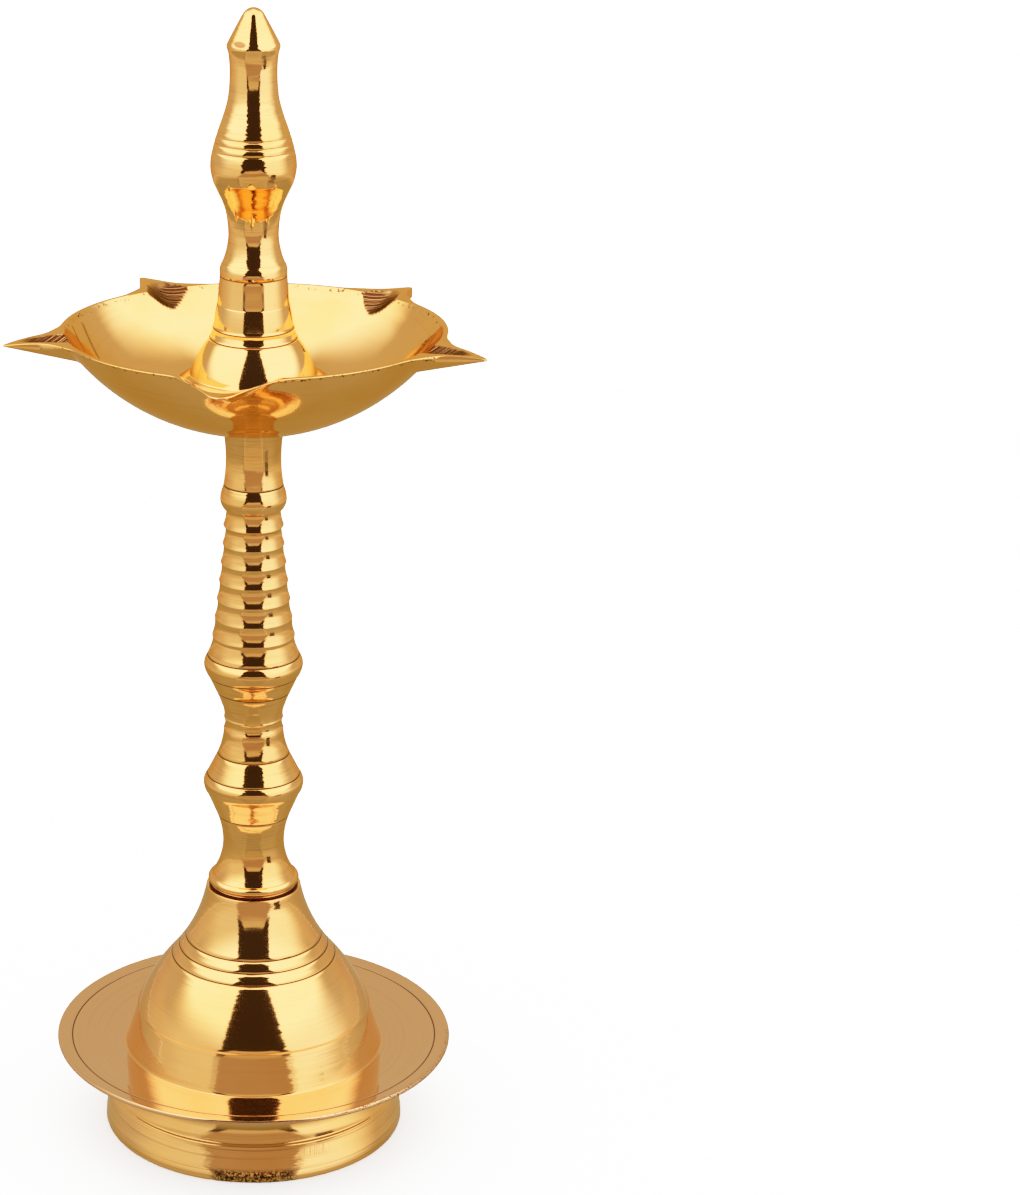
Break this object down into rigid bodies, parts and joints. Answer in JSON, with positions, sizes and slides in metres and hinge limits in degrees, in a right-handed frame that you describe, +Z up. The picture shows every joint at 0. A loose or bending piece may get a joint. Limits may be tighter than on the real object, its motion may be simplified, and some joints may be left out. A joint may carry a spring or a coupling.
{
  "type": "standing oil lamp",
  "caption": "Standing brass oil lamp: round footed base with a drip plate, turned stem, dished oil bowl with pointed wick spouts and a finial, all screwed together on threaded studs.",
  "frame": {"origin": "centre of the foot's resting face, on the lamp's turning axis", "axes": "+Z up along the lamp's axis; -Y is the front, with one spout close to it"},
  "size_m": [0.1207, 0.1197, 0.305],
  "materials": {
    "polished_brass": "polished, with fine turning lines",
    "stud_brass": "plain machined thread"
  },
  "bodies": {
    "base": {"base": "polished_brass"},
    "base_stud": {"base_stud": "stud_brass"},
    "lower_stem": {"lower_stem": "polished_brass"},
    "stem_stud": {"stem_stud": "stud_brass"},
    "upper_stem": {"upper_stem": "polished_brass"},
    "bowl_stud": {"bowl_stud": "stud_brass"},
    "oil_bowl": {"oil_bowl": "polished_brass"},
    "finial_stud": {"finial_stud": "stud_brass"},
    "finial": {"finial": "polished_brass"}
  },
  "joints": [
    {"name": "lower_stem_rise", "type": "slide", "parent": "base", "child": "base_stud", "axis": [0, 0, 1], "range_m": [0, 0.00875]},
    {"name": "lower_stem_turn", "type": "hinge", "parent": "base_stud", "child": "lower_stem", "pos_m": [0, 0, 0.0697], "axis": [0, 0, 1], "range_deg": [0, 2520]},
    {"name": "upper_stem_rise", "type": "slide", "parent": "lower_stem", "child": "stem_stud", "axis": [0, 0, 1], "range_m": [0, 0.00875]},
    {"name": "upper_stem_turn", "type": "hinge", "parent": "stem_stud", "child": "upper_stem", "pos_m": [0, 0, 0.114], "axis": [0, 0, 1], "range_deg": [0, 2520]},
    {"name": "oil_bowl_rise", "type": "slide", "parent": "upper_stem", "child": "bowl_stud", "axis": [0, 0, 1], "range_m": [0, 0.00875]},
    {"name": "oil_bowl_turn", "type": "hinge", "parent": "bowl_stud", "child": "oil_bowl", "pos_m": [0, 0, 0.1975], "axis": [0, 0, 1], "range_deg": [0, 2520]},
    {"name": "finial_rise", "type": "slide", "parent": "oil_bowl", "child": "finial_stud", "axis": [0, 0, 1], "range_m": [0, 0.00875]},
    {"name": "finial_turn", "type": "hinge", "parent": "finial_stud", "child": "finial", "pos_m": [0, 0, 0.2372], "axis": [0, 0, 1], "range_deg": [0, 2520]}
  ],
  "couplings": [
    {"joint": "lower_stem_turn", "follows": "lower_stem_rise", "rad_per_m": 5026.5},
    {"joint": "upper_stem_turn", "follows": "upper_stem_rise", "rad_per_m": 5026.5},
    {"joint": "oil_bowl_turn", "follows": "oil_bowl_rise", "rad_per_m": 5026.5},
    {"joint": "finial_turn", "follows": "finial_rise", "rad_per_m": 5026.5}
  ]
}
